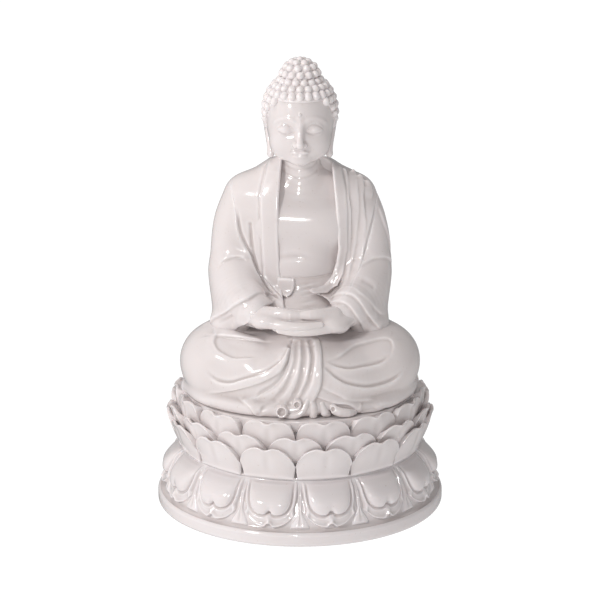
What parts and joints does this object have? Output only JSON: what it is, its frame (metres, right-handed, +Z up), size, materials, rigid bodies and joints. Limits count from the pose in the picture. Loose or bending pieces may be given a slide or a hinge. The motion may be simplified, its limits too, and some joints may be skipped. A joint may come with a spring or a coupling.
{
  "type": "seated buddha statue",
  "caption": "Seated robed figure in white glazed porcelain, hands in the lap, on a lotus throne of thin petals and a round lotus pedestal.",
  "frame": {"origin": "centre of the pedestal's foot, on the surface it stands on", "axes": "+Z up, the figure faces -Y, +X to the right of a viewer in front"},
  "size_m": [0.29, 0.29, 0.4574],
  "materials": {
    "glaze_figure": "high gloss warm white glaze",
    "glaze_hair": "high gloss warm white glaze, thin on the curls",
    "glaze_petal": "satin warm white glaze",
    "glaze_pedestal": "gloss warm white glaze, thicker in the hollows"
  },
  "bodies": {
    "pedestal": {"pedestal_shell": "glaze_pedestal", "pedestal_petal_01": "glaze_pedestal", "pedestal_petal_02": "glaze_pedestal", "pedestal_petal_03": "glaze_pedestal", "pedestal_petal_04": "glaze_pedestal", "pedestal_petal_05": "glaze_pedestal", "pedestal_petal_06": "glaze_pedestal", "pedestal_petal_07": "glaze_pedestal", "pedestal_petal_08": "glaze_pedestal", "pedestal_petal_09": "glaze_pedestal", "pedestal_petal_10": "glaze_pedestal", "pedestal_petal_11": "glaze_pedestal", "pedestal_petal_12": "glaze_pedestal", "pedestal_petal_13": "glaze_pedestal", "pedestal_petal_14": "glaze_pedestal", "pedestal_leaflets": "glaze_pedestal"},
    "throne": {"lotus_bowl": "glaze_petal", "seat_disc": "glaze_petal", "lotus_petal_lower_01": "glaze_petal", "lotus_petal_lower_02": "glaze_petal", "lotus_petal_lower_03": "glaze_petal", "lotus_petal_lower_04": "glaze_petal", "lotus_petal_lower_05": "glaze_petal", "lotus_petal_lower_06": "glaze_petal", "lotus_petal_lower_07": "glaze_petal", "lotus_petal_lower_08": "glaze_petal", "lotus_petal_lower_09": "glaze_petal", "lotus_petal_lower_10": "glaze_petal", "lotus_petal_lower_11": "glaze_petal", "lotus_petal_lower_12": "glaze_petal", "lotus_petal_lower_13": "glaze_petal", "lotus_petal_lower_14": "glaze_petal", "lotus_petals_middle": "glaze_petal", "lotus_petals_upper": "glaze_petal"},
    "figure": {"lap_shell": "glaze_figure", "figure_base": "glaze_figure", "torso_shell": "glaze_figure", "sleeve_right": "glaze_figure", "sleeve_left": "glaze_figure", "lapel_right": "glaze_figure", "lapel_left": "glaze_figure", "under_robe": "glaze_figure", "sash_knot": "glaze_figure", "shoulder_drape": "glaze_figure", "apron_folds": "glaze_figure", "hem_rolls": "glaze_figure", "hand_right": "glaze_figure", "hand_left": "glaze_figure", "head_shell": "glaze_figure", "hair_cap": "glaze_hair", "ushnisha": "glaze_hair", "hair_curls_cap": "glaze_hair", "hair_curls_topknot": "glaze_hair", "ear_right": "glaze_figure", "ear_left": "glaze_figure", "urna": "glaze_figure"}
  },
  "joints": [
    {"name": "throne_lift", "type": "slide", "parent": "pedestal", "child": "throne", "axis": [0, 0, 1], "range_m": [0, 0.05]},
    {"name": "figure_lift", "type": "slide", "parent": "throne", "child": "figure", "axis": [0, 0, 1], "range_m": [0, 0.05]}
  ]
}
